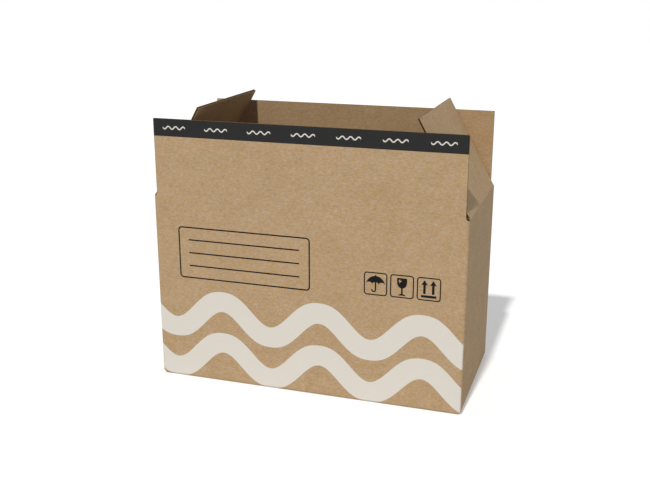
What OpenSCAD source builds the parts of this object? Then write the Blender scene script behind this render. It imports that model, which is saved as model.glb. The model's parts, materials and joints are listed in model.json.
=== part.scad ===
// Slotted corrugated box, standing open.
// One folded sheet makes the walls and the glued bottom; four flaps swing on pressed creases.
// The origin is the middle of the underside. The front wall faces -Y and +Z is up.

/* [Box] */
// Outside length of the box, left to right
box_l = 400; // [300:1:600]
// Outside width of the box, front to back
box_w = 191; // [150:1:290]
// Height of the long flaps' creases above the table
box_h = 247; // [150:0.1:400]
// Inside radius of the board where it folds
fold_inner_r = 0.5; // [0.3:0.1:1.5]

/* [Board] */
// Thickness of the corrugated board
board_t = 3; // [2.4:0.1:5]
// Thickness of each flat facing sheet
liner_t = 0.35; // [0.2:0.05:0.5]
// Thickness of the wavy sheet between the facings
medium_t = 0.35; // [0.2:0.05:0.5]
// Spacing of the flutes, adjusted so that they fill each flap evenly
flute_pitch = 6.6; // [5:0.1:10]

/* [Flaps] */
// Length of a short flap from its crease
short_flap = 129; // [60:1:145]
// Lean of the short flaps as they stand, inwards from upright
short_lean = 29; // [0:1:80]
// Gap where two closed long flaps meet
seam_gap = 3; // [1:0.5:10]
// Clearance beside a short flap as it swings between the long flaps
slot_clear = 1.6; // [1.5:0.1:4]
// Depth of a slot past the short flaps' creases
slot_depth = 1; // [0.8:0.1:1.2]
// Clearance between a closed short flap and the long flaps over it
stack_clear = 0.3; // [0.1:0.1:0.5]
// Half the gap that a pressed crease leaves between wall and flap
crease_gap = 0.15; // [0.1:0.05:0.3]

/* [Glue tab] */
// Width of the tab that is glued inside the back wall
tab_w = 30; // [20:1:45]
// Clearance between the tab's ends and the closed short flaps above and below it
tab_clear = 1; // [0.5:0.5:10]
// How much the tab's free edge is shortened at each end
tab_taper = 8; // [0:1:20]
// Gap between the back wall's raw edge and the left wall's outer face
joint_gap = 1; // [0.5:0.1:2]

/* [Hidden] */
$fn = 48;

kraft = [0.72, 0.61, 0.46];
kraft_shaded = [0.66, 0.56, 0.42];
past = 1; // how far a cutter runs past what it cuts

half_l = box_l / 2;
half_w = box_w / 2;
fold_r = fold_inner_r + board_t;

// The long flaps close over the short ones, so their creases are one board higher.
short_crease = box_h - board_t - stack_clear;
long_flap = (box_w - seam_gap) / 2;

// A slot parts neighbouring flaps at each corner and ends in a half circle.
slot_half = board_t + slot_clear;
slot_rise = slot_half - slot_depth; // from the short crease to the half circle's centre
slot_at_crease = sqrt(pow(slot_half, 2) - pow(slot_rise, 2));
long_span = box_l - 2 * slot_half;
short_span = box_w - 2 * slot_half;
short_fold_span = box_w - 2 * slot_at_crease;

// Angles along one wave of the fluting at which its outline is drawn
flute_angles = [-160, -90, -36, 36, 90, 160];
flute_rise = board_t - 2 * liner_t - medium_t;

// Turns a wall or flap drawn for the front to another side: 0 front, 90 right, 180 back, 270 left.
module on_side(turn, reach, z = 0) {
    rotate([0, 0, turn])
        translate([0, -reach, z])
            children();
}

// One channel of the fluting, in plan, lying against a facing sheet.
module flute_channel(pitch) {
    polygon([for (a = flute_angles) [a / 360 * (pitch - 2 * medium_t), (1 + cos(a)) / 2 * flute_rise]]);
}

// Section of the board in plan: two facings with the wavy sheet between them.
// A flute lies open at each end, as a slot cuts it.
module board_section(span, solid_span) {
    count = round(span / flute_pitch);
    pitch = span / count;
    difference() {
        translate([-solid_span / 2, 0])
            square([solid_span, board_t]);
        for (i = [0 : count])
            translate([i * pitch - span / 2, liner_t])
                flute_channel(pitch);
        for (i = [0.5 : count])
            translate([i * pitch - span / 2, board_t - liner_t])
                mirror([0, 1])
                    flute_channel(pitch);
    }
}

// What a pressed crease takes off the inner side of a flap's foot.
module foot_bevel(span) {
    rotate([90, 0, 90])
        translate([0, 0, -span / 2 - past])
            linear_extrude(span + 2 * past)
                polygon([
                    [-past, -past],
                    [-past, crease_gap - past],
                    [board_t + past, crease_gap + board_t + past],
                    [board_t + past, -past],
                ]);
}

// A flap standing on its crease: outer face at y = 0, crease along X at z = 0.
module flap(span, length, foot_span) {
    difference() {
        linear_extrude(length)
            board_section(span, foot_span);
        foot_bevel(foot_span);
        if (foot_span > span)
            for (side = [-1, 1])
                slot_side(side * (span / 2 + slot_half), length);
    }
}

// Trims one end of a short flap: the upper part of a slot, with its half circle at the foot.
module slot_side(x, length) {
    translate([x, board_t + past, slot_rise])
        rotate([90, 0, 0])
            cylinder(r = slot_half, h = board_t + 2 * past);
    translate([x - slot_half, -past, slot_rise])
        cube([2 * slot_half, board_t + 2 * past, length]);
}

// A quarter tube of board: a fold of the given length along Z.
module fold(length) {
    rotate_extrude(angle = 90)
        translate([fold_inner_r, 0])
            square([board_t, length]);
}

// A wall with its bottom fold, drawn for the front between two distances along it.
// The bottom flap's underside is at z = foot.
module wall(from, to, foot) {
    translate([from, 0, foot + fold_r])
        cube([to - from, board_t, box_h - foot - fold_r]);
    translate([from, fold_r, foot + fold_r])
        rotate([0, 90, 0])
            rotate(270)
                fold(to - from);
}

// The four walls and the folds between them, before the slots are cut.
module walls() {
    on_side(0, half_w)
        wall(-half_l + fold_r, half_l - fold_r, 0);
    on_side(90, half_l)
        wall(-half_w + fold_r, half_w - fold_r, board_t);
    // The back wall ends in a raw edge at the left.
    on_side(180, half_w)
        wall(-half_l + fold_r, half_l - joint_gap, 0);
    // The left wall stops one board short, so that its tab lies inside the back wall.
    on_side(270, half_l)
        wall(-half_w + board_t + fold_r, half_w - fold_r, board_t);
    translate([-half_l + fold_r, -half_w + fold_r])
        rotate(180)
            fold(box_h);
    translate([half_l - fold_r, -half_w + fold_r])
        rotate(270)
            fold(box_h);
    translate([half_l - fold_r, half_w - fold_r])
        fold(box_h);
}

// Fold and tab carried on from the left wall, glued flat inside the back wall.
module glue_tab() {
    low = 2 * board_t + tab_clear;
    high = short_crease - board_t - tab_clear;
    translate([-half_l + fold_r, half_w - board_t - fold_r, low])
        rotate(90)
            fold(high - low);
    translate([-half_l + fold_r, half_w - board_t, 0])
        rotate([90, 0, 0])
            linear_extrude(board_t)
                polygon([[0, low], [tab_w, low + tab_taper], [tab_w, high - tab_taper], [0, high]]);
}

// A glued bottom flap, drawn for the front; its underside is at z.
module bottom_flap(span, length, z) {
    translate([-span / 2, fold_r, z])
        cube([span, length - fold_r, board_t]);
}

// What a pressed crease takes off the inner side of a wall's top.
module top_bevel(span, z) {
    rotate([90, 0, 90])
        translate([0, z - crease_gap, -span / 2])
            linear_extrude(span)
                polygon([
                    [-past, past],
                    [-past, board_t + 2 * past],
                    [board_t + past, board_t + 2 * past],
                    [board_t + past, -board_t - past],
                ]);
}

// Rounded slot end through one wall at a corner: the wall runs along +X and its outer face is y = 0.
// It stops at the mitre between the two walls.
module slot_through_wall(z, up) {
    reach = slot_half + past;
    intersection() {
        union() {
            translate([0, reach, z + up * slot_half])
                rotate([90, 0, 0])
                    cylinder(r = slot_half, h = reach + past);
            translate([-past, -past, up > 0 ? z + slot_half : z - slot_half - box_h])
                cube([reach, reach + past, box_h]);
        }
        translate([0, 0, z - box_h * 2])
            linear_extrude(box_h * 4)
                polygon([[-past, -past], [reach, -past], [reach, reach]]);
    }
}

// Slot end at one corner, through both walls; up is 1 for a top slot and -1 for a bottom one.
module corner_slot(z, up) {
    slot_through_wall(z, up);
    mirror([1, -1, 0])
        slot_through_wall(z, up);
}

// Walls, glue tab and glued bottom: one folded sheet.
module carton() {
    color(kraft) {
        difference() {
            walls();
            for (turn = [0, 180])
                on_side(turn, half_w)
                    top_bevel(box_l - 2 * board_t, box_h);
            for (turn = [90, 270])
                on_side(turn, half_l)
                    top_bevel(box_w - 2 * board_t, short_crease);
            for (mx = [0, 1])
                for (my = [0, 1])
                    mirror([mx, 0, 0])
                        mirror([0, my, 0])
                            translate([-half_l, -half_w, 0]) {
                                corner_slot(short_crease - slot_depth, 1);
                                corner_slot(board_t + slot_depth, -1);
                            }
        }
        glue_tab();
        for (turn = [0, 180])
            on_side(turn, half_w)
                bottom_flap(long_span, long_flap, 0);
        for (turn = [90, 270])
            on_side(turn, half_l)
                bottom_flap(short_span, short_flap, board_t);
    }
}

// Long flaps stand upright on the front and back walls.
module long_flap_on(turn) {
    on_side(turn, half_w, box_h)
        flap(long_span, long_flap, long_span);
}

// Short flaps lean inwards on the side walls.
module short_flap_on(turn) {
    on_side(turn, half_l, short_crease)
        rotate([-short_lean, 0, 0])
            flap(short_span, short_flap, short_fold_span);
}

module front_flap() {
    color(kraft)
        long_flap_on(0);
}

module back_flap() {
    color(kraft)
        long_flap_on(180);
}

module left_flap() {
    color(kraft_shaded)
        short_flap_on(270);
}

module right_flap() {
    color(kraft_shaded)
        short_flap_on(90);
}

carton();
front_flap();
back_flap();
left_flap();
right_flap();
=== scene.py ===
"""Looks of an open slotted corrugated box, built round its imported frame.

The board is made the way board is made: two paper facings with a wavy sheet between them. Each facing is
drawn in the flat, as the cut sheet, and folded into place. The print is part of the outer facing's faces.
In the flat, u runs round the box from the middle of the front wall and v runs up, both in metres.
"""

import json
import math
from collections import namedtuple
from functools import partial

import bmesh
import bpy
from bpy.props import FloatProperty, FloatVectorProperty, IntProperty, PointerProperty
from mathutils import Matrix, Vector
from mathutils.geometry import delaunay_2d_cdt


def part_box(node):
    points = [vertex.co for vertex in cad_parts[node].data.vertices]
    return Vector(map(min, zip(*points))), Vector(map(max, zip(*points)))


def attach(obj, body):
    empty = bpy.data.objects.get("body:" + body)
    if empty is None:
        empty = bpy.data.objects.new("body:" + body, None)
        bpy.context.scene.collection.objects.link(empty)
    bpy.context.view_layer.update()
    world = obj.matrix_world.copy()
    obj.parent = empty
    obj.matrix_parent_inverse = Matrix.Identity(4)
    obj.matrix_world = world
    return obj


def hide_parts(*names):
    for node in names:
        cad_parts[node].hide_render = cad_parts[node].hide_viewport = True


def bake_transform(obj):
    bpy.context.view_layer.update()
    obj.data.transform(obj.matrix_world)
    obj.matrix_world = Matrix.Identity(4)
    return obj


bl_info = {
    "name": "Slotted Corrugated Box",
    "version": (1, 0, 0),
    "blender": (4, 5, 0),
    "location": "3D View > Sidebar > Box",
    "description": "Builds the facings, fluting, print and stage of an open slotted corrugated box",
    "category": "Add Mesh",
}

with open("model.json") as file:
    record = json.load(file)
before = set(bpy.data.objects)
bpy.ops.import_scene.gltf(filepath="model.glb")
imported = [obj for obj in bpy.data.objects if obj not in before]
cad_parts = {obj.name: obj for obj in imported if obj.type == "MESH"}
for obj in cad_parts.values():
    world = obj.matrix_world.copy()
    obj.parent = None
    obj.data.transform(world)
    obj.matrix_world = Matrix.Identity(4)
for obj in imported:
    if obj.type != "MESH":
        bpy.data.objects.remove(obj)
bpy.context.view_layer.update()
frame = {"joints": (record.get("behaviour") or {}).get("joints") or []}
MM = 0.001

# Sizes taken from the frame

JOINTS = {joint["name"]: joint for joint in frame["joints"]}
HALF_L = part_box("carton")[1].x
HALF_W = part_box("carton")[1].y
LONG_CREASE = JOINTS["front_crease"]["pos_m"][2]
SHORT_CREASE = JOINTS["right_crease"]["pos_m"][2]
BOARD_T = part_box("front_flap")[1].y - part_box("front_flap")[0].y
LONG_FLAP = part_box("front_flap")[1].z - LONG_CREASE
HALF_LONG_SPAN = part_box("front_flap")[1].x
SLOT_HALF = HALF_L - HALF_LONG_SPAN
HALF_SHORT_SPAN = HALF_W - SLOT_HALF
# A short flap lies flat at its lower limit, so that limit gives its inward lean at rest.
SHORT_LEAN = math.radians(90 + JOINTS["right_crease"]["range_deg"][0])
SHORT_FLAP = (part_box("right_flap")[1].z - SHORT_CREASE) / math.cos(SHORT_LEAN)

# Sizes of the folded sheet that the frame doesn't name

FOLD_R = BOARD_T + 0.5 * MM  # outer radius of a fold
FOLD_ARC = FOLD_R * math.pi / 2
FOLD_STEPS = 6
SLOT_DEPTH = 1 * MM  # of a slot past the short flaps' creases
TAB_CLEAR = 1 * MM
TAB_W = 30 * MM
TAB_LOW = 2 * BOARD_T + TAB_CLEAR
TAB_HIGH = SHORT_CREASE - BOARD_T - TAB_CLEAR
TAB_TAPER = 8 * MM
JOINT_GAP = 1 * MM  # between the back wall's raw edge and the left wall's outer face
SUPPORT = 0.5 * MM  # strip beside each fold that keeps the flat walls' shading flat
TRIM = 0.1 * MM  # by which hidden edges stay back

# A pressed crease: the inner facing is pressed down to the outer one in a V

WEB = 0.6 * MM  # half the strip that bends
BEND = 0.5 * MM  # half the length over which it turns
CREASE_GAP = 0.15 * MM
DENT_HALF = 1.4 * MM

UV_NAME = "sheet"

# Edges that turn by more than these angles look sharp
FACING_SHARP = math.radians(30)
FLUTING_SHARP = math.radians(50)


def linear(code):
    """Linear RGB of an sRGB hex code."""
    channels = [int(code[i : i + 2], 16) / 255 for i in (0, 2, 4)]
    return [c / 12.92 if c <= 0.04045 else ((c + 0.055) / 1.055) ** 2.4 for c in channels]


def new_object(name, data):
    """A new object in the scene."""
    made = bpy.data.objects.new(name, data)
    bpy.context.collection.objects.link(made)
    return made


def smooth_piece(name, mesh, sharp):
    """An object with a mesh that is shaded smooth up to an angle."""
    mesh.shade_smooth()
    mesh.set_sharp_from_angle(angle=sharp)
    return new_object(name, mesh)


# Settings


def board_size(name, description, default):
    """Setting for a length, shown to a hundredth of a millimetre."""
    return FloatProperty(name=name, description=description, default=default, precision=5, unit="LENGTH")


def paper_colour(name, description, code):
    """Setting for a colour, from an sRGB hex code."""
    return FloatVectorProperty(name=name, description=description, default=linear(code), subtype="COLOR")


class BoardSettings(bpy.types.PropertyGroup):
    """Make-up of the corrugated board."""

    liner_t: board_size("Facing thickness", "Thickness of each flat facing sheet", 0.35 * MM)
    medium_t: board_size("Fluting thickness", "Thickness of the wavy sheet", 0.35 * MM)
    flute_pitch: board_size("Flute spacing", "Distance between flutes, adjusted to fill a panel", 6.6 * MM)
    flute_steps: IntProperty(
        name="Steps in a flute",
        description="Faces across one wave of the fluting",
        default=12,
        min=6,
    )
    dent: board_size("Crease dent", "How far a pressed crease sinks the outer facing", 0.1 * MM)


class PaperSettings(bpy.types.PropertyGroup):
    """Colours of the papers and inks."""

    kraft: paper_colour("Kraft", "Outer facing", "B49875")
    inner_kraft: paper_colour("Inner kraft", "Inner facing", "AC8F6C")
    fluting: paper_colour("Fluting", "Wavy sheet inside the board", "6F5840")
    cut: paper_colour("Cut edge", "Cut fibres along the facings' edges", "A88B67")
    charcoal: paper_colour("Charcoal ink", "Ink of the band", "2E2E2E")
    black: paper_colour("Black ink", "Ink of the panel and the signs", "1B1B1B")
    cream: paper_colour("Cream ink", "Ink of the waves", "DBD5CB")


class PrintSettings(bpy.types.PropertyGroup):
    """Layout of the print on the front."""

    band: board_size("Band", "Height of the band along the front flap's free edge", 21.5 * MM)
    wave_width: board_size("Wave width", "Width of a cream wave", 27 * MM)
    wave_length: board_size("Wave length", "Length of one cream wave", 130 * MM)
    wave_rise: board_size("Wave rise", "Height of a wave's crest above its middle line", 20 * MM)
    mark_count: IntProperty(
        name="Band marks",
        description="Number of small waves on the band",
        default=7,
        min=1,
    )


class StageSettings(bpy.types.PropertyGroup):
    """Camera and light."""

    lens: FloatProperty(
        name="Lens",
        description="Focal length on a 36 mm sensor, in millimetres",
        default=51.06,
    )
    eye: FloatVectorProperty(
        name="Camera place",
        description="Where the camera stands",
        default=(0.3586, -1.1036, 0.5177),
        subtype="XYZ",
        unit="LENGTH",
    )
    target: FloatVectorProperty(
        name="Camera aim",
        description="What the camera looks at",
        default=(-0.0041, 0.0, 0.16607),
        subtype="XYZ",
        unit="LENGTH",
    )
    key_height: FloatProperty(
        name="Key height",
        description="Angle of the main light above the floor",
        default=math.radians(53.3),
        subtype="ANGLE",
    )
    key_side: FloatProperty(
        name="Key side",
        description="Angle of the main light to the left of straight ahead",
        default=math.radians(2.9),
        subtype="ANGLE",
    )
    key_size: FloatProperty(
        name="Key size",
        description="Angle that the main light fills, which softens shadows",
        default=math.radians(2.7),
        subtype="ANGLE",
    )
    key_strength: FloatProperty(
        name="Key strength",
        description="Strength of the main light",
        default=2.38,
    )
    key_colour: FloatVectorProperty(
        name="Key colour",
        description="Colour of the main light",
        default=(1.0, 0.965, 0.925),
        subtype="COLOR",
    )
    fill_strength: FloatProperty(
        name="Fill strength",
        description="Strength of the even light from all round",
        default=0.37,
    )
    fill_colour: FloatVectorProperty(
        name="Fill colour",
        description="Colour of the even light",
        default=(0.85, 0.92, 1.0),
        subtype="COLOR",
    )


# The sheet's path round the box

Run = namedtuple("Run", "name start length point heading radius")


def left_of(heading):
    """Direction to the left of a heading, which is into the board."""
    return Vector((-heading.y, heading.x))


def sheet_runs():
    """Straight walls and folds in order along u, from the tab's free edge to the back wall's raw edge."""
    long_wall = 2 * (HALF_L - FOLD_R)
    short_wall = 2 * (HALF_W - FOLD_R)
    lengths = {
        "tab": TAB_W,
        "left": short_wall - BOARD_T,
        "front": long_wall,
        "right": short_wall,
        "back": long_wall + FOLD_R - JOINT_GAP,
    }
    before_front = TAB_W + lengths["left"] + 2 * FOLD_ARC
    start = -long_wall / 2 - before_front
    point = Vector((-HALF_L + FOLD_R + TAB_W, HALF_W - BOARD_T))
    heading = Vector((-1, 0))
    runs = []
    for name, length in lengths.items():
        runs.append(Run(name, start, length, point, heading, 0))
        start += length
        point = point + heading * length
        runs.append(Run("fold", start, FOLD_ARC, point, heading, FOLD_R))
        start += FOLD_ARC
        point = point + (heading + left_of(heading)) * FOLD_R
        heading = left_of(heading)
    return runs[:-1]  # no fold after the raw edge


RUNS = sheet_runs()
WALLS = {run.name: run for run in RUNS if run.name != "fold"}
CORNERS = [run.start + run.length / 2 for run in RUNS if run.name == "fold"]

# For each wall: v of its bottom flap's underside, v of its top crease, its flaps' length and u of its middle

FEET = {"left": BOARD_T, "front": 0, "right": BOARD_T, "back": 0}
CREASES = {"left": SHORT_CREASE, "front": LONG_CREASE, "right": SHORT_CREASE, "back": LONG_CREASE}
FLAP_LENGTHS = {"left": SHORT_FLAP, "front": LONG_FLAP, "right": SHORT_FLAP, "back": LONG_FLAP}
MIDDLES = {
    "left": WALLS["left"].start + WALLS["left"].length - (HALF_W - FOLD_R),
    "front": 0,
    "right": WALLS["right"].start + WALLS["right"].length / 2,
    "back": WALLS["back"].start + HALF_L - FOLD_R,
}

# Where the bottom flaps lie along u, between slots that are measured round the folds

SLOT_ROUND = SLOT_HALF - FOLD_R + FOLD_ARC / 2
SLOT_PAST = 0.2 * SLOT_ROUND  # of a bottom slot's rounded end past the corner's middle
RAW_EDGE = WALLS["back"].start + WALLS["back"].length
RAW_CORNER = MIDDLES["back"] + HALF_L
BOTTOM_SPANS = {
    "left": (WALLS["left"].start + SLOT_HALF - FOLD_R, CORNERS[1] - SLOT_ROUND),
    "front": (CORNERS[1] + SLOT_ROUND, CORNERS[2] - SLOT_ROUND),
    "right": (CORNERS[2] + SLOT_ROUND, CORNERS[3] - SLOT_ROUND),
    "back": (CORNERS[3] + SLOT_ROUND, RAW_CORNER - SLOT_HALF),
}


def run_at(u):
    """The wall or fold that u lies on."""
    found = RUNS[0]
    for run in RUNS:
        if u >= run.start:
            found = run
    return found


def sheet_point(u, v, depth):
    """Where a point of the sheet lies once folded, at a depth below the outer face."""
    run = run_at(u)
    along = u - run.start
    heading = run.heading
    if run.radius:
        turn = along / run.radius
        side = left_of(heading)
        plan = run.point + (heading * math.sin(turn) + side * (1 - math.cos(turn))) * run.radius
        heading = heading * math.cos(turn) + side * math.sin(turn)
    else:
        plan = run.point + heading * along
    inward = left_of(heading)
    if run.name not in FEET or v >= FEET[run.name] + FOLD_R:
        return (plan + inward * depth).to_3d() + Vector((0, 0, v))
    below = FEET[run.name] + FOLD_R - v
    arc_length = min(below, FOLD_ARC)
    turn = arc_length / FOLD_R
    reach = FOLD_R - (FOLD_R - depth) * math.cos(turn) + below - arc_length
    height = FEET[run.name] + FOLD_R - (FOLD_R - depth) * math.sin(turn)
    return (plan + inward * reach).to_3d() + Vector((0, 0, height))


def crease_depths(height, liner):
    """Depths of the inner facing's two sides at a height above a crease, where it is pressed into a V."""
    inner = min(max(abs(height) - CREASE_GAP, 2 * liner), BOARD_T)
    outer = min(max(abs(height) - CREASE_GAP - liner * math.sqrt(2), liner), BOARD_T - liner)
    return outer, inner


def crease_dent(height, dent):
    """How far the outer facing sinks at a height above a crease."""
    return dent * max(0, 1 - (height / DENT_HALF) ** 2) ** 2


# Flat outlines


def notch(centre, half, root, up, first, last, steps=10):
    """Points along a slot's rounded end: root is its deepest v, and first and last are offsets in u."""
    from_angle, to_angle = (math.asin(max(-1, min(1, x / half))) for x in (first, last))
    angles = [from_angle + (to_angle - from_angle) * i / steps for i in range(steps + 1)]
    return [(centre + half * math.sin(a), root + up * SLOT_HALF * (1 - math.cos(a))) for a in angles]


def notch_offset(half, rise):
    """Offset in u at which a slot's rounded end has risen by a height."""
    return half * math.sqrt(1 - max(0, 1 - rise / SLOT_HALF) ** 2)


def bottom_end(name):
    """v of a bottom flap's free edge."""
    return FEET[name] + FOLD_R - FOLD_ARC - (FLAP_LENGTHS[name] - FOLD_R)


def carton_outline():
    """Outline of the walls, the tab and the bottom flaps, counter-clockwise in the flat."""
    low_root = BOARD_T + SLOT_DEPTH
    high_root = SHORT_CREASE - SLOT_DEPTH
    side_foot = BOARD_T + FOLD_R + TRIM  # of a side wall beside its bottom flap
    to_long = notch_offset(SLOT_ROUND, LONG_CREASE - WEB - high_root)
    to_short = notch_offset(SLOT_ROUND, SHORT_CREASE - WEB - high_root)
    tab, left = WALLS["tab"], WALLS["left"]

    bottom = [(tab.start, TAB_LOW + TAB_TAPER), (tab.start + TAB_W, TAB_LOW), (left.start, TAB_LOW)]
    bottom.append((BOTTOM_SPANS["left"][0], TAB_LOW))
    top = [(tab.start, TAB_HIGH - TAB_TAPER), (tab.start + TAB_W, TAB_HIGH), (left.start, TAB_HIGH)]
    top.append((left.start, SHORT_CREASE - WEB))
    for name, corner in zip(("left", "front", "right"), CORNERS[1:]):
        first, last = BOTTOM_SPANS[name]
        bottom += [(first, bottom_end(name)), (last, bottom_end(name))]
        if FEET[name]:
            bottom += [(last, side_foot), (corner - FOLD_ARC / 2, side_foot)]
            bottom += notch(corner, SLOT_ROUND, low_root, -1, -SLOT_PAST, SLOT_ROUND)
            top += notch(corner, SLOT_ROUND, high_root, 1, -to_short, to_long)
        else:
            bottom += notch(corner, SLOT_ROUND, low_root, -1, -SLOT_ROUND, SLOT_PAST)
            bottom += [(corner + FOLD_ARC / 2, side_foot), (corner + SLOT_ROUND, side_foot)]
            top += notch(corner, SLOT_ROUND, high_root, 1, -to_long, to_short)
    first, last = BOTTOM_SPANS["back"]
    bottom += [(first, bottom_end("back")), (last, bottom_end("back"))]
    bottom += notch(RAW_CORNER, SLOT_HALF, low_root, -1, -SLOT_HALF, RAW_EDGE - RAW_CORNER)
    to_raw = notch_offset(SLOT_HALF, LONG_CREASE - WEB - high_root)
    top += notch(RAW_CORNER, SLOT_HALF, high_root, 1, -to_raw, RAW_EDGE - RAW_CORNER)
    return bottom + top[::-1]


def carton_guides():
    """Lines in the flat along which the carton's facings bend."""
    guides = []
    for corner in CORNERS:
        offsets = [FOLD_ARC * (i / FOLD_STEPS - 0.5) for i in range(FOLD_STEPS + 1)]
        offsets += [-FOLD_ARC / 2 - SUPPORT, FOLD_ARC / 2 + SUPPORT]
        guides += [((corner + x, TAB_LOW), (corner + x, LONG_CREASE)) for x in offsets]
    for name, foot in FEET.items():
        wall = WALLS[name]
        first, last = wall.start - SUPPORT, wall.start + wall.length + SUPPORT
        levels = [foot + FOLD_R - FOLD_ARC * i / FOLD_STEPS for i in range(FOLD_STEPS + 1)]
        levels += [levels[0] + SUPPORT, levels[-1] - SUPPORT]
        levels += [CREASES[name] + h for h in crease_levels() if h < -WEB]
        guides += [((first, v), (last, v)) for v in levels]
    return guides


def crease_levels():
    """Heights above a crease at which a facing changes slope or bends."""
    liner = bpy.context.scene.box_board.liner_t
    slant = liner * math.sqrt(2)
    knees = [2 * liner + CREASE_GAP, BOARD_T + CREASE_GAP]
    knees += [liner + CREASE_GAP + slant, BOARD_T - liner + CREASE_GAP + slant]
    knees += [DENT_HALF, WEB, WEB * 2 / 3, WEB / 3]
    return sorted({side * knee for knee in knees for side in (-1, 1)} | {0})


# Closed thin sheets from flat outlines

WHOLE_HULL = 0  # kind of triangulation that fills the points' convex hull
SAME_POINT = 1e-7  # points closer than this become one


def inside(point, polygon):
    """Whether a point lies inside a polygon."""
    x, y = point
    found = False
    for (x0, y0), (x1, y1) in zip(polygon, polygon[1:] + polygon[:1]):
        if (y0 > y) != (y1 > y) and x < x0 + (y - y0) / (y1 - y0) * (x1 - x0):
            found = not found
    return found


def triangulate(outline, guides, shapes):
    """Points, triangles and each triangle's ink for an outline cut along guides and printed shapes."""
    points, edges = [], []
    for loop in [outline] + [polygon for _, polygon in shapes]:
        first = len(points)
        points += [Vector(p) for p in loop]
        edges += [(first + i, first + (i + 1) % len(loop)) for i in range(len(loop))]
    for guide in guides:
        edges.append((len(points), len(points) + 1))
        points += [Vector(p) for p in guide]
    found, _, faces, *_ = delaunay_2d_cdt(points, edges, [], WHOLE_HULL, SAME_POINT)
    boxes = []
    for _, polygon in shapes:
        us, vs = zip(*polygon)
        boxes.append((min(us), max(us), min(vs), max(vs)))
    triangles, inks = [], []
    for face in faces:
        middle = sum((found[i] for i in face), Vector((0, 0))) / len(face)
        if not inside(middle, outline):
            continue
        ink = None
        for (name, polygon), (u0, u1, v0, v1) in zip(shapes, boxes):
            if u0 < middle.x < u1 and v0 < middle.y < v1 and inside(middle, polygon):
                ink = name
        triangles.append(face)
        inks.append(ink)
    used = sorted({i for face in triangles for i in face})
    renumber = {old: new for new, old in enumerate(used)}
    return [found[i] for i in used], [[renumber[i] for i in f] for f in triangles], inks


class SheetMesh:
    """Collects closed thin sheets into one mesh with the flat u and v as its UV map."""

    def __init__(self):
        self.points, self.faces, self.uvs, self.stocks = [], [], [], []

    def add_sheet(self, outline, guides, shapes, near, far, papers, shift):
        """A sheet between two sides; near and far place a flat point, and papers name near, far and rim."""
        flat, triangles, inks = triangulate(outline, guides, shapes)
        first, count = len(self.points), len(flat)
        self.points += [near(*p) for p in flat] + [far(*p) for p in flat]
        uv = [(p.x + shift[0], p.y + shift[1]) for p in flat]
        borders = set()
        for (a, b, c), ink in zip(triangles, inks):
            self.put([first + i for i in (a, b, c)], [uv[i] for i in (a, b, c)], ink or papers[0])
            self.put([first + count + i for i in (c, b, a)], [uv[i] for i in (c, b, a)], papers[1])
            for edge in ((a, b), (b, c), (c, a)):
                if edge[::-1] in borders:
                    borders.remove(edge[::-1])
                else:
                    borders.add(edge)
        for a, b in sorted(borders):
            corners = [first + b, first + a, first + count + a, first + count + b]
            self.put(corners, [uv[b], uv[a], uv[a], uv[b]], papers[2])

    def put(self, corners, uvs, stock):
        """One face of a paper or an ink."""
        self.faces.append(corners)
        self.uvs.append(uvs)
        self.stocks.append(stock)

    def make(self, name):
        """The finished object, at the origin."""
        if not self.faces:
            raise RuntimeError(f"{name} has no faces: its outline is empty")
        mesh = bpy.data.meshes.new(name)
        mesh.from_pydata(self.points, [], self.faces)
        used = sorted(set(self.stocks))
        for stock in used:
            mesh.materials.append(finish(stock))
        layer = mesh.uv_layers.new(name=UV_NAME)
        for polygon, uvs, stock in zip(mesh.polygons, self.uvs, self.stocks):
            polygon.material_index = used.index(stock)
            for loop, uv in zip(polygon.loop_indices, uvs):
                layer.data[loop].uv = uv
        mesh.validate()
        return smooth_piece(name, mesh, FACING_SHARP)


# Print

SIGN_SIZE = 29 * MM
SIGN_PITCH = 32.4 * MM
SIGN_LINE = 1.5 * MM
SIGN_CORNER = 3.8 * MM
SIGN_FIRST = (90.8 * MM, 156.5 * MM)
PANEL_SIZE = (176 * MM, 68 * MM)
PANEL_MIDDLE = (-80 * MM, 172 * MM)
PANEL_LINE = 1.8 * MM
PANEL_CORNER = 5 * MM
PANEL_INSET = 14 * MM
PANEL_RULES = 3
PRINT_EDGE = HALF_L - FOLD_R + FOLD_ARC / 2  # the print ends at the middle of the corner folds
PRINT_PAST = 1 * MM  # by which the band is drawn past the flap's edges
WAVE_LEVELS = (90 * MM, 34 * MM)
WAVE_SHIFT = 13 * MM
WAVE_STEPS = 120
MARK_WIDTH = 30 * MM
MARK_RISE = 1.7 * MM
MARK_LINE = 1.5 * MM
MARK_WAVES = 3
MARK_STEPS = 36


def arc(centre, radius, first, last, steps=12):
    """Points along an arc, with angles in degrees."""
    turns = [math.radians(first + (last - first) * i / steps) for i in range(steps + 1)]
    return [(centre[0] + radius * math.cos(t), centre[1] + radius * math.sin(t)) for t in turns]


def rounded(centre, width, height, radius):
    """A rectangle with rounded corners."""
    u, v = width / 2 - radius, height / 2 - radius
    points = []
    for first, (su, sv) in zip((0, 90, 180, 270), ((1, 1), (-1, 1), (-1, -1), (1, -1))):
        points += arc((centre[0] + su * u, centre[1] + sv * v), radius, first, first + 90, steps=6)
    return points


def stroke(line, width):
    """Outline of a line drawn with a pen of a width."""
    sides = ([], [])
    for i, (u, v) in enumerate(line):
        before, after = line[max(0, i - 1)], line[min(len(line) - 1, i + 1)]
        ahead = Vector((after[0] - before[0], after[1] - before[1])).normalized() * (width / 2)
        sides[0].append((u - ahead.y, v + ahead.x))
        sides[1].append((u + ahead.y, v - ahead.x))
    return sides[0] + sides[1][::-1]


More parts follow.
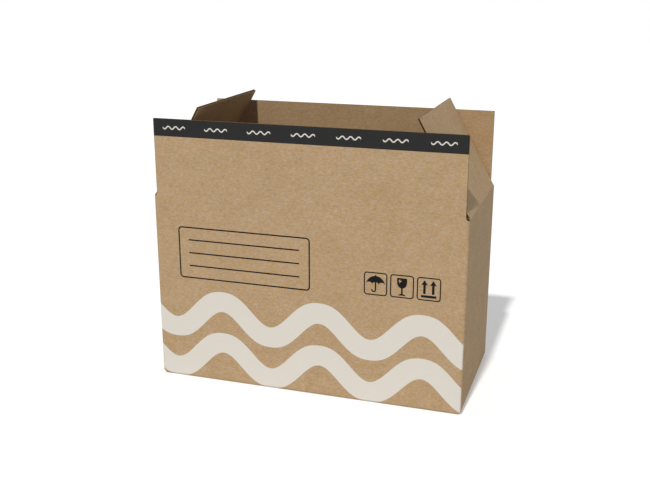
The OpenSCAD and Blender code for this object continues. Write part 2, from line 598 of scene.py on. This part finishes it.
def wave_band(centre, half, rise, length, width, steps, shift=0):
    """Outline of a wavy band of an even width, whose ends are cut straight up and down."""
    turn = 2 * math.pi / length
    top, bottom = [], []
    for i in range(steps + 1):
        u = half * (2 * i / steps - 1)
        lift = rise * math.sin(turn * (u + shift))
        slope = rise * turn * math.cos(turn * (u + shift))
        thick = width / 2 * math.hypot(1, slope)
        top.append((centre[0] + u, centre[1] + lift + thick))
        bottom.append((centre[0] + u, centre[1] + lift - thick))
    return top + bottom[::-1]


def umbrella():
    """Keep dry: an umbrella, in millimetres about the sign's middle."""
    reach, rise, rim = 11.8, 10.9, -0.9
    peak = 1.2  # above 1, the dome rises to a point
    scallop = reach / 3
    sag = 0.75  # a scallop's height as a share of a half circle's
    dome = [(reach * u, rim + rise * v**peak) for u, v in arc((0, 0), 1, 0, 180, steps=20)]
    scallops = []
    for middle in (-2 * scallop, 0, 2 * scallop):
        scallops += [(u, rim + v * sag) for u, v in arc((middle, 0), scallop, 180, 0, steps=8)]
    tip = [(-1.2, 9.6), (1.2, 9.6), (0.4, 11.3), (-0.4, 11.3)]
    hook, foot, tail, pen = 2.3, -7.6, 0.5, 1.75
    handle = [(0, 3), (0, foot)] + arc((-hook, foot), hook, 0, -180, steps=8) + [(-2 * hook, foot + tail)]
    return [dome + scallops, tip, stroke(handle, pen)]


def goblet():
    """Fragile: a glass, in millimetres about the sign's middle."""
    half, brim, waist = 6.1, 10.4, 5.1
    stretch = 1.24  # of the bowl's half circle
    bowl = [(half, brim), (-half, brim)]
    bowl += [(u, waist + v * stretch) for u, v in arc((0, 0), half, 180, 360, steps=16)]
    stem = [(-1, -1.5), (-1, -9.4), (1, -9.4), (1, -1.5)]
    base = [(-4.4, -11.4), (4.4, -11.4), (4.2, -10.4), (1, -9.2), (-1, -9.2), (-4.2, -10.4)]
    return [bowl, stem, base]


def goblet_crack():
    """The crack left bare in the glass."""
    return [(-2.6, 9), (-4.7, 6), (-2.8, 6.2), (-4, 3.2), (-0.2, 7.2), (-2.1, 7)]


def arrows():
    """This way up: two arrows over a bar, in millimetres about the sign's middle."""
    arrow = [(-1.5, -6.2), (1.5, -6.2), (1.5, 5), (4.2, 4.3), (0, 11), (-4.2, 4.3), (-1.5, 5)]
    bar = [(-9.2, -10.8), (9.2, -10.8), (9.2, -7.7), (-9.2, -7.7)]
    apart = 5.25
    return [[(u + shift, v) for u, v in arrow] for shift in (-apart, apart)] + [bar]


def frame_line(ink, centre, width, height, radius, line):
    """A rounded frame in an ink, with bare paper inside its line."""
    whole = rounded(centre, width, height, radius)
    bare = rounded(centre, width - 2 * line, height - 2 * line, radius - line)
    return [(ink, whole), (None, bare)]


def front_print(settings):
    """Inks on the front wall, in the order in which they are laid."""
    shapes = []
    for level in WAVE_LEVELS:
        size = (settings.wave_rise, settings.wave_length, settings.wave_width)
        shapes.append(("cream_ink", wave_band((0, level), PRINT_EDGE, *size, WAVE_STEPS, WAVE_SHIFT)))
    shapes += frame_line("black_ink", PANEL_MIDDLE, *PANEL_SIZE, PANEL_CORNER, PANEL_LINE)
    reach = PANEL_SIZE[0] / 2 - PANEL_INSET
    for i in range(PANEL_RULES):
        v = PANEL_MIDDLE[1] + PANEL_SIZE[1] * (0.5 - (i + 1) / (PANEL_RULES + 1))
        line = [(PANEL_MIDDLE[0] - reach, v), (PANEL_MIDDLE[0] + reach, v)]
        shapes.append(("black_ink", stroke(line, PANEL_LINE)))
    signs = [[("black_ink", polygon) for polygon in sign()] for sign in (umbrella, goblet, arrows)]
    signs[1].append((None, goblet_crack()))
    for i, sign in enumerate(signs):
        u, v = SIGN_FIRST[0] + i * SIGN_PITCH, SIGN_FIRST[1]
        shapes += frame_line("black_ink", (u, v), SIGN_SIZE, SIGN_SIZE, SIGN_CORNER, SIGN_LINE)
        shapes += [(ink, [(u + x * MM, v + y * MM) for x, y in polygon]) for ink, polygon in sign]
    return shapes


def band_print(settings):
    """Inks on the front flap: a band along its free edge with a row of small waves."""
    low, high = LONG_FLAP - settings.band, LONG_FLAP + PRINT_PAST
    past = HALF_LONG_SPAN + PRINT_PAST
    shapes = [("charcoal_ink", [(-past, low), (past, low), (past, high), (-past, high)])]
    pitch = 2 * HALF_LONG_SPAN / settings.mark_count
    size = (MARK_WIDTH / 2, MARK_RISE, MARK_WIDTH / MARK_WAVES, MARK_LINE, MARK_STEPS)
    for i in range(settings.mark_count):
        middle = ((i + 0.5) * pitch - HALF_LONG_SPAN, LONG_FLAP - settings.band / 2)
        shapes.append(("cream_ink", wave_band(middle, *size)))
    return shapes


# Papers and inks

# Streaks of fibres and clouds of pulp; single fibres are finer, so bundles stand for them.
PULP_DETAIL = 5  # finer layers of noise on the first
PULP_RANGE = (0.36, 0.64)  # of the noise, stretched to 0 and 1
FIBRE_SIZE = (4.8 * MM, 2.1 * MM)
FIBRE_CONTRAST = (0.21, 0.25, 0.38)  # dark fibres are yellower than pale ones
FIBRE_RELIEF = 0.006 * MM
CLOUD_SIZE = (12 * MM, 4.5 * MM)
CLOUD_TINT = (0.02, 0.07, 0.28)  # from straw to grey
MOTTLE_SIZE = (60 * MM, 40 * MM)
MOTTLE_SHARE = 0.25  # of the fibres' contrast that lies in broad patches
SPECK_CELL = 18 * MM
SPECK_EDGES = (0.45 * MM, 0.85 * MM)
SPECK_RAGGED = 0.6 * MM
SPECK_SHARE = 0.4  # of the cells that hold one
BARK = linear("7A5233")
PALE_FIBRE = linear("DCC9A6")
WASHBOARD = 0.006 * MM  # flutes that just show through a facing
ROUGH_SPREAD = 0.06  # of the roughness, up and down with the fibres


def add(tree, kind, inputs=None, **settings):
    """Adds a node and gives its outputs; an input is a value or the socket that it is linked from."""
    node = tree.nodes.new(kind)
    for name, value in settings.items():
        setattr(node, name, value)
    for key, value in (inputs or {}).items():
        if isinstance(value, bpy.types.NodeSocket):
            tree.links.new(value, node.inputs[key])
        else:
            node.inputs[key].default_value = value
    return node.outputs


def blank_tree(owner):
    """The emptied node tree of a material or the world."""
    owner.use_nodes = True
    owner.node_tree.nodes.clear()
    return owner.node_tree


def pulp(tree, flat, size):
    """Noise from 0 to 1 in streaks of a size, which lie along the paper's web."""
    sized = add(tree, "ShaderNodeMapping", {"Vector": flat, "Scale": (1 / size[0], 1 / size[1], 1)})[0]
    streaks = {"Vector": sized, "Scale": 1, "Detail": PULP_DETAIL, "Roughness": 1}
    noise = add(tree, "ShaderNodeTexNoise", streaks, noise_dimensions="2D")["Fac"]
    low, high = PULP_RANGE
    return add(tree, "ShaderNodeMapRange", {"Value": noise, "From Min": low, "From Max": high})[0]


def speckle(tree, flat, fibre, strength):
    """Where ragged specks lie, as a factor up to a strength, and their colour: bark or pale fibre."""
    spread = {"Vector": flat, "Scale": 1 / SPECK_CELL}
    cells = add(tree, "ShaderNodeTexVoronoi", spread, voronoi_dimensions="2D")
    chance = add(tree, "ShaderNodeSeparateColor", {0: cells["Color"]})
    held = add(tree, "ShaderNodeMath", {0: chance[0], 1: SPECK_SHARE}, operation="LESS_THAN")[0]
    kind = add(tree, "ShaderNodeMath", {0: chance[1]}, operation="ROUND")[0]
    frayed = {0: fibre, 1: SPECK_RAGGED / SPECK_CELL, 2: cells["Distance"]}
    ragged = add(tree, "ShaderNodeMath", frayed, operation="MULTIPLY_ADD")[0]
    near, away = (edge / SPECK_CELL for edge in SPECK_EDGES)
    fade = {"Value": ragged, "From Min": near, "From Max": away, "To Min": strength, "To Max": 0}
    spot = add(tree, "ShaderNodeMapRange", fade)[0]
    factor = add(tree, "ShaderNodeMath", {0: spot, 1: held}, operation="MULTIPLY")[0]
    kinds = {"Factor": kind, 6: [*BARK, 1], 7: [*PALE_FIBRE, 1]}
    colour = add(tree, "ShaderNodeMix", kinds, data_type="RGBA")[2]
    return factor, colour


def relief(tree, flat, fibre):
    """Surface normal of a facing: fibres, over flutes that just show through."""
    across = add(tree, "ShaderNodeSeparateXYZ", {0: flat})["X"]
    pitch = bpy.context.scene.box_board.flute_pitch
    turn = add(tree, "ShaderNodeMath", {0: across, 1: 2 * math.pi / pitch}, operation="MULTIPLY")[0]
    wave = add(tree, "ShaderNodeMath", {0: turn}, operation="SINE")[0]
    over = {0: wave, 1: WASHBOARD / FIBRE_RELIEF, 2: fibre}
    height = add(tree, "ShaderNodeMath", over, operation="MULTIPLY_ADD")[0]
    return add(tree, "ShaderNodeBump", {"Height": height, "Distance": FIBRE_RELIEF})[0]


def paper(name, look):
    """An uncoated paper: streaks of fibre, clouds of pulp and specks of bark and pale fibre."""
    colour = getattr(bpy.context.scene.box_paper, look.colour)
    grain, rough = look.grain, look.rough
    material = bpy.data.materials.new(name)
    tree = blank_tree(material)
    flat = add(tree, "ShaderNodeUVMap", uv_map=UV_NAME)["UV"]
    fibre, cloud, broad = (pulp(tree, flat, size) for size in (FIBRE_SIZE, CLOUD_SIZE, MOTTLE_SIZE))
    dark, pale = ([c * (1 + s * grain * k) for c, k in zip(colour, FIBRE_CONTRAST)] + [1] for s in (-1, 1))
    straw, grey = ([1 + s * grain * k for k in CLOUD_TINT] + [1] for s in (-1, 1))
    mottled = add(tree, "ShaderNodeMix", {"Factor": MOTTLE_SHARE, 2: fibre, 3: broad})[0]
    fibres = add(tree, "ShaderNodeMix", {"Factor": mottled, 6: dark, 7: pale}, data_type="RGBA")[2]
    tint = add(tree, "ShaderNodeMix", {"Factor": cloud, 6: straw, 7: grey}, data_type="RGBA")[2]
    tinted = {"Factor": 1, 6: fibres, 7: tint}
    shown = add(tree, "ShaderNodeMix", tinted, data_type="RGBA", blend_type="MULTIPLY")[2]
    if look.specks:
        spot, speck = speckle(tree, flat, fibre, look.specks)
        shown = add(tree, "ShaderNodeMix", {"Factor": spot, 6: shown, 7: speck}, data_type="RGBA")[2]
    matte = {"Value": fibre, "To Min": rough - ROUGH_SPREAD, "To Max": rough + ROUGH_SPREAD}
    surface = {
        "Base Color": shown,
        "Roughness": add(tree, "ShaderNodeMapRange", matte)[0],
        "Specular IOR Level": look.gloss,
        "Normal": relief(tree, flat, fibre),
    }
    shader = add(tree, "ShaderNodeBsdfPrincipled", surface)[0]
    add(tree, "ShaderNodeOutputMaterial", {"Surface": shader})
    return material


Finish = namedtuple("Finish", "colour grain specks rough gloss")

FINISHES = {
    # Unbleached kraft, machine-made and uncoated: warm tan and cloudy, with streaks along the web
    "kraft_liner": Finish("kraft", grain=1, specks=0.8, rough=0.9, gloss=0.2),
    # Recycled test liner: the same pulp, a little duller, and as matte
    "inner_liner": Finish("inner_kraft", grain=1, specks=0.8, rough=0.9, gloss=0.2),
    # Semi-chemical fluting: darker and rougher than the facings, seen only in cut edges
    "fluting_paper": Finish("fluting", grain=0.8, specks=0, rough=0.94, gloss=0.1),
    # Board cut by a die: short torn fibres, a little darker than the face and fully matte
    "cut_edge": Finish("cut", grain=0.8, specks=0, rough=0.94, gloss=0.1),
    # Flexographic ink in a solid: it soaks in, so the band is flat and matte and the grain just shows
    "charcoal_ink": Finish("charcoal", grain=0.3, specks=0, rough=0.8, gloss=0.08),
    # Flexographic ink in lines: laid thicker, so it is darker than the solid
    "black_ink": Finish("black", grain=0.3, specks=0, rough=0.8, gloss=0.08),
    # Opaque flexographic ink: an even film that hides the kraft, with its grain as relief
    "cream_ink": Finish("cream", grain=0.06, specks=0, rough=0.8, gloss=0.15),
}

# Papers on the outward side, the inward side and the cut rim of each facing
OUTER_PAPERS = ("kraft_liner", "fluting_paper", "cut_edge")
INNER_PAPERS = ("fluting_paper", "inner_liner", "cut_edge")


def finish(name):
    """A paper or an ink, made when it is first asked for."""
    return bpy.data.materials.get(name) or paper(name, FINISHES[name])


# Fluting by geometry nodes

WELD = 0.01 * MM
FLUTING_INPUTS = {
    "Flutes": "NodeSocketInt",
    "Spacing": "NodeSocketFloat",
    "Height": "NodeSocketFloat",
    "Rise": "NodeSocketFloat",
    "Thickness": "NodeSocketFloat",
    "Steps": "NodeSocketInt",
    "Paper": "NodeSocketMaterial",
}

Panel = namedtuple("Panel", "width low high matrix")


def fluting_tree():
    """Node tree that repeats one wave of the fluting along X, standing up along Y, with its waves in Z."""
    tree = bpy.data.node_groups.new("fluting", "GeometryNodeTree")
    tree.is_modifier = True
    for name, kind in FLUTING_INPUTS.items():
        tree.interface.new_socket(name, in_out="INPUT", socket_type=kind)
    tree.interface.new_socket("Geometry", in_out="OUTPUT", socket_type="NodeSocketGeometry")
    given = add(tree, "NodeGroupInput")
    place = add(tree, "GeometryNodeInputPosition")[0]

    # One wave: a strip whose height in Z follows a cosine
    across = add(tree, "ShaderNodeMath", {0: given["Steps"], 1: 1}, operation="ADD")[0]
    size = {"Size X": given["Spacing"], "Size Y": given["Height"], "Vertices X": across, "Vertices Y": 2}
    strip = add(tree, "GeometryNodeMeshGrid", size)["Mesh"]
    along = add(tree, "ShaderNodeSeparateXYZ", {0: place})["X"]
    part = add(tree, "ShaderNodeMath", {0: along, 1: given["Spacing"]}, operation="DIVIDE")[0]
    angle = add(tree, "ShaderNodeMath", {0: part, 1: 2 * math.pi}, operation="MULTIPLY")[0]
    crest = add(tree, "ShaderNodeMath", {0: angle}, operation="COSINE")[0]
    lift = add(tree, "ShaderNodeMath", {0: crest, 1: given["Rise"]}, operation="MULTIPLY")[0]
    offset = add(tree, "ShaderNodeCombineXYZ", {"Z": lift})[0]
    waved = add(tree, "GeometryNodeSetPosition", {"Geometry": strip, "Offset": offset})[0]

    # A row of waves, welded into one sheet
    step = add(tree, "ShaderNodeCombineXYZ", {"X": given["Spacing"]})[0]
    row = add(tree, "GeometryNodeMeshLine", {"Count": given["Flutes"], "Offset": step}, mode="OFFSET")[0]
    waves = add(tree, "GeometryNodeInstanceOnPoints", {"Points": row, "Instance": waved})[0]
    sheet = add(tree, "GeometryNodeRealizeInstances", {"Geometry": waves})[0]
    welded = add(tree, "GeometryNodeMergeByDistance", {"Geometry": sheet, "Distance": WELD})[0]

    # Thickness, with the sheet's own underside to close it
    raised = {"Mesh": welded, "Offset Scale": given["Thickness"], "Individual": False}
    thick = add(tree, "GeometryNodeExtrudeMesh", raised)["Mesh"]
    under = add(tree, "GeometryNodeFlipFaces", {"Mesh": welded})[0]
    both = add(tree, "GeometryNodeJoinGeometry", {0: thick})[0]
    tree.links.new(under, both.node.inputs[0])
    closed = add(tree, "GeometryNodeMergeByDistance", {"Geometry": both, "Distance": WELD})[0]

    # Flat metres as the UV map, then the paper
    flat = {"Geometry": closed, "Name": UV_NAME, "Value": place}
    mapped = add(tree, "GeometryNodeStoreNamedAttribute", flat, data_type="FLOAT2", domain="CORNER")[0]
    plain = add(tree, "GeometryNodeRealizeInstances", {"Geometry": mapped})[0]
    papered = add(tree, "GeometryNodeSetMaterial", {"Geometry": plain, "Material": given["Paper"]})[0]
    add(tree, "NodeGroupOutput", {"Geometry": papered})
    return tree


def fluting_mesh(tree, panel):
    """Plain mesh of the fluting in one panel, laid in place by the panel's matrix."""
    board = bpy.context.scene.box_board
    flutes = max(1, round(panel.width / board.flute_pitch))
    height = panel.high - panel.low
    values = {
        "Flutes": flutes,
        "Spacing": panel.width / flutes,
        "Height": height,
        "Rise": (BOARD_T - 2 * board.liner_t - board.medium_t) / 2,
        "Thickness": board.medium_t,
        "Steps": board.flute_steps,
        "Paper": finish("fluting_paper"),
    }
    maker = new_object("fluting_maker", bpy.data.meshes.new("fluting_maker"))
    modifier = maker.modifiers.new("fluting", "NODES")
    modifier.node_group = tree
    for item in tree.interface.items_tree:
        if item.in_out == "INPUT":
            modifier[item.identifier] = values[item.name]
    graph = bpy.context.evaluated_depsgraph_get()
    mesh = bpy.data.meshes.new_from_object(maker.evaluated_get(graph), depsgraph=graph)
    bpy.data.objects.remove(maker)
    if not mesh.polygons:
        raise RuntimeError("the fluting's node tree made no faces")
    first = Vector((panel.width / flutes / 2 - panel.width / 2, panel.low + height / 2, -board.medium_t / 2))
    mesh.transform(panel.matrix @ Matrix.Translation(first))
    return mesh


def fluting_piece(name, body, tree, panels):
    """The fluting of a body's panels as one piece that rides on it."""
    joined = bmesh.new()
    for panel in panels:
        part = fluting_mesh(tree, panel)
        joined.from_mesh(part)
        bpy.data.meshes.remove(part)
    mesh = bpy.data.meshes.new(name)
    joined.to_mesh(mesh)
    joined.free()
    mesh.materials.append(finish("fluting_paper"))
    piece = smooth_piece(name, mesh, FLUTING_SHARP)
    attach(piece, body)


def panel_matrix(origin, up, inward):
    """Matrix that lays a panel: X along it, Y up it and Z into the board, from the middle of the board."""
    turn = Matrix((up.cross(inward), up, inward)).transposed().to_4x4()
    return Matrix.Translation(origin + inward * (BOARD_T / 2)) @ turn


# Facings


def both_facings(name, outline, guides, shapes, place, crease_at, shift=(0, 0)):
    """Outer and inner facing as one piece.

    place folds a flat point at a depth below the outer face, and crease_at gives the v of the crease at a u.
    """
    board = bpy.context.scene.box_board

    def outer(depth):
        return lambda u, v: place(u, v, depth + crease_dent(v - crease_at(u), board.dent))

    def inner(side):
        return lambda u, v: place(u, v, crease_depths(v - crease_at(u), board.liner_t)[side])

    sheet = SheetMesh()
    sheet.add_sheet(outline, guides, shapes, outer(0), outer(board.liner_t), OUTER_PAPERS, shift)
    sheet.add_sheet(outline, guides, [], inner(0), inner(1), INNER_PAPERS, shift)
    return sheet.make(name)


# Carton


def carton_facings():
    """Both facings of the walls, the tab and the bottom."""
    no_crease = LONG_CREASE + 2 * BOARD_T  # out of reach, for the tab and the folds

    def crease_at(u):
        return CREASES.get(run_at(u).name, no_crease)

    flat = (carton_outline(), carton_guides(), front_print(bpy.context.scene.box_print))
    piece = both_facings("carton_facings", *flat, sheet_point, crease_at)
    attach(piece, "carton")
    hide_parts("carton")


def carton_panels():
    """Fluted panels of the walls, the tab and the bottom flaps."""
    up = Vector((0, 0, 1))
    panels = []
    for name, wall in WALLS.items():
        inward = left_of(wall.heading).to_3d()
        middle = (wall.point + wall.heading * (wall.length / 2)).to_3d()
        standing = panel_matrix(middle, up, inward)
        if name == "tab":
            panels.append(Panel(wall.length, TAB_LOW + TAB_TAPER, TAB_HIGH - TAB_TAPER, standing))
            continue
        high = CREASES[name] - BOARD_T - CREASE_GAP - TRIM
        panels.append(Panel(wall.length, FEET[name] + FOLD_R, high, standing))
        first, last = BOTTOM_SPANS[name]
        foot = sheet_point((first + last) / 2, FEET[name] + FOLD_R, 0)
        foot.z = FEET[name]
        laid = panel_matrix(foot, inward, up)
        panels.append(Panel(last - first - 2 * TRIM, FOLD_R, FLAP_LENGTHS[name] - TRIM, laid))
    return panels


# Top flaps

CORNER_R = 0.8 * MM
SLOT_STEPS = 5

Flap = namedtuple("Flap", "wall body axis along inward half length lean")


def top_flaps():
    """The four top flaps, each with its crease's middle, its directions and its size."""
    flaps = []
    for wall in FEET:
        joint = JOINTS[wall + "_crease"]
        along = WALLS[wall].heading.to_3d()
        inward = left_of(WALLS[wall].heading).to_3d()
        half, lean = (HALF_SHORT_SPAN, SHORT_LEAN) if FEET[wall] else (HALF_LONG_SPAN, 0)
        axis = Vector(joint["pos_m"])
        flaps.append(Flap(wall, joint["child"], axis, along, inward, half, FLAP_LENGTHS[wall], lean))
    return flaps


def flap_point(flap, u, height, depth):
    """Where a flap's point lies at rest: its crease turns the board by the flap's lean."""
    part = min(1, max(0, (height + BEND) / (2 * BEND)))
    turn = flap.lean * part * part * (3 - 2 * part)  # eased at both ends of the bend
    rise = height * math.cos(turn) - depth * math.sin(turn)
    reach = height * math.sin(turn) + depth * math.cos(turn)
    return flap.axis + flap.along * u + Vector((0, 0, rise)) + flap.inward * reach


def flap_outline(flap):
    """Outline of a flap in the flat; a short flap widens to its crease where the slots end."""
    side = [(flap.half, -WEB)]
    if FEET[flap.wall]:
        centre = SLOT_HALF - SLOT_DEPTH  # of the slot's rounded end, above the crease
        side = []
        for h in [-WEB] + [centre * i / SLOT_STEPS for i in range(SLOT_STEPS + 1)]:
            slot = math.sqrt(SLOT_HALF**2 - (centre - max(0, h)) ** 2)
            side.append((flap.half + SLOT_HALF - slot, h))
    side += arc((flap.half - CORNER_R, flap.length - CORNER_R), CORNER_R, 0, 90, steps=4)
    return side + [(-u, h) for u, h in side[::-1]]


def flap_facings(flap, shapes):
    """Both facings of a flap, with the crease strip that bends, as one piece."""
    past = flap.half + 2 * SLOT_HALF
    guides = [((-past, h), (past, h)) for h in crease_levels() if h > -WEB]
    flat = (flap_outline(flap), guides, shapes)
    shift = (MIDDLES[flap.wall], CREASES[flap.wall])
    piece = both_facings(flap.body + "_facings", *flat, partial(flap_point, flap), lambda u: 0, shift)
    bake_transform(piece)
    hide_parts(flap.body)


def flap_panel(flap):
    """Fluted panel of a flap, from its crease's V to its free edge."""
    up = Vector((0, 0, math.cos(flap.lean))) + flap.inward * math.sin(flap.lean)
    inward = flap.inward * math.cos(flap.lean) - Vector((0, 0, math.sin(flap.lean)))
    matrix = panel_matrix(flap.axis, up, inward)
    return Panel(2 * flap.half, BOARD_T + CREASE_GAP, flap.length - TRIM, matrix)


# Stage

FLOOR_HALF = 6.0
FLOOR_DROP = 0.2 * MM
FLOOR_BOUNCE = 0.8  # share of its light that the floor gives back to the box
FLOOR_SHOWN = (0.85, 0.88, 0.92)  # share of it that the eye sees, which evens out the key's warmth
FLOOR_GLOW = (0.28, 0.258, 0.227)  # lifts the lit floor to white and evens out the fill's blue


def seen_directly(tree):
    """1 for rays that show the background: straight to the eye, by gloss or through glass."""
    path = add(tree, "ShaderNodeLightPath")
    seen = path["Is Camera Ray"]
    for other in ("Is Glossy Ray", "Is Transmission Ray"):
        seen = add(tree, "ShaderNodeMath", {0: seen, 1: path[other]}, operation="MAXIMUM")[0]
    return seen


def make_floor():
    """A pale matte floor that looks white and keeps the box's shadow."""
    corners = [(x * FLOOR_HALF, y * FLOOR_HALF, -FLOOR_DROP) for x, y in ((-1, -1), (1, -1), (1, 1), (-1, 1))]
    mesh = bpy.data.meshes.new("floor")
    mesh.from_pydata(corners, [], [(0, 1, 2, 3)])
    material = bpy.data.materials.new("white_floor")
    tree = blank_tree(material)
    bounce = add(tree, "ShaderNodeBsdfDiffuse", {"Color": [FLOOR_BOUNCE] * 3 + [1]})[0]
    shaded = add(tree, "ShaderNodeBsdfDiffuse", {"Color": [*FLOOR_SHOWN, 1]})[0]
    glow = add(tree, "ShaderNodeEmission", {"Color": [*FLOOR_GLOW, 1]})[0]
    shown = add(tree, "ShaderNodeAddShader", {0: shaded, 1: glow})[0]
    mixed = add(tree, "ShaderNodeMixShader", {0: seen_directly(tree), 1: bounce, 2: shown})[0]
    add(tree, "ShaderNodeOutputMaterial", {"Surface": mixed})
    mesh.materials.append(material)
    floor = new_object("floor", mesh)


def make_key(settings):
    """The main light, from the front and above."""
    lamp = bpy.data.lights.new("key", "SUN")
    lamp.energy = settings.key_strength
    lamp.angle = settings.key_size
    lamp.color = settings.key_colour
    side, height = settings.key_side, settings.key_height
    level = math.cos(height)
    toward = Vector((-math.sin(side) * level, -math.cos(side) * level, math.sin(height)))
    key = new_object("key", lamp)
    key.rotation_euler = toward.to_track_quat("Z", "Y").to_euler()


def make_fill(settings):
    """An even light from all round, behind a white background."""
    world = bpy.data.worlds.new("studio")
    tree = blank_tree(world)
    colour = [*settings.fill_colour, 1]
    fill = add(tree, "ShaderNodeBackground", {"Color": colour, "Strength": settings.fill_strength})[0]
    white = add(tree, "ShaderNodeBackground", {"Color": (1, 1, 1, 1), "Strength": 1})[0]
    mixed = add(tree, "ShaderNodeMixShader", {0: seen_directly(tree), 1: fill, 2: white})[0]
    add(tree, "ShaderNodeOutputWorld", {"Surface": mixed})
    bpy.context.scene.world = world


def make_camera(settings):
    """The camera at the photograph's place."""
    data = bpy.data.cameras.new("camera")
    data.lens = settings.lens
    camera = new_object("camera", data)
    camera.location = settings.eye
    ahead = Vector(settings.target) - Vector(settings.eye)
    camera.rotation_euler = ahead.to_track_quat("-Z", "Y").to_euler()
    bpy.context.scene.camera = camera


# Operators and panel


class BOX_OT_stage(bpy.types.Operator):
    """Builds the floor, the light and the camera"""

    bl_idname = "box.stage"
    bl_label = "Stage"

    def execute(self, context):
        settings = context.scene.box_stage
        make_floor()
        make_key(settings)
        make_fill(settings)
        make_camera(settings)
        context.scene.view_settings.view_transform = "Standard"
        return {"FINISHED"}


class BOX_OT_carton(bpy.types.Operator):
    """Builds the facings of the walls, the tab and the bottom"""

    bl_idname = "box.carton"
    bl_label = "Carton"

    def execute(self, context):
        carton_facings()
        return {"FINISHED"}


class BOX_OT_flaps(bpy.types.Operator):
    """Builds the facings of the four top flaps"""

    bl_idname = "box.flaps"
    bl_label = "Flaps"

    def execute(self, context):
        for flap in top_flaps():
            flap_facings(flap, band_print(context.scene.box_print) if flap.wall == "front" else [])
        return {"FINISHED"}


class BOX_OT_fluting(bpy.types.Operator):
    """Builds the wavy sheet inside the board of each body"""

    bl_idname = "box.fluting"
    bl_label = "Fluting"

    def execute(self, context):
        tree = fluting_tree()
        fluting_piece("carton_fluting", "carton", tree, carton_panels())
        for flap in top_flaps():
            fluting_piece(flap.body + "_fluting", flap.body, tree, [flap_panel(flap)])
        return {"FINISHED"}


OPERATORS = (BOX_OT_stage, BOX_OT_carton, BOX_OT_flaps, BOX_OT_fluting)
SETTINGS = {
    "box_board": BoardSettings,
    "box_paper": PaperSettings,
    "box_print": PrintSettings,
    "box_stage": StageSettings,
}


class BOX_PT_panel(bpy.types.Panel):
    """Settings and steps of the corrugated box"""

    bl_idname = "BOX_PT_panel"
    bl_label = "Corrugated Box"
    bl_space_type = "VIEW_3D"
    bl_region_type = "UI"
    bl_category = "Box"

    def draw(self, context):
        for key, kind in SETTINGS.items():
            column = self.layout.column()
            for name in kind.__annotations__:
                column.prop(getattr(context.scene, key), name)
        for operator in OPERATORS:
            self.layout.operator(operator.bl_idname)


def register():
    """Adds the classes and the scene's settings to Blender."""
    for kind in (*SETTINGS.values(), *OPERATORS, BOX_PT_panel):
        bpy.utils.register_class(kind)
    for key, kind in SETTINGS.items():
        setattr(bpy.types.Scene, key, PointerProperty(type=kind))


def unregister():
    """Takes them out again."""
    for key in SETTINGS:
        delattr(bpy.types.Scene, key)
    for kind in (BOX_PT_panel, *OPERATORS[::-1], *SETTINGS.values()):
        bpy.utils.unregister_class(kind)


def main():
    """Builds everything."""
    register()
    bpy.ops.box.stage()
    bpy.ops.box.carton()
    bpy.ops.box.flaps()
    bpy.ops.box.fluting()


if __name__ == "__main__":
    main()
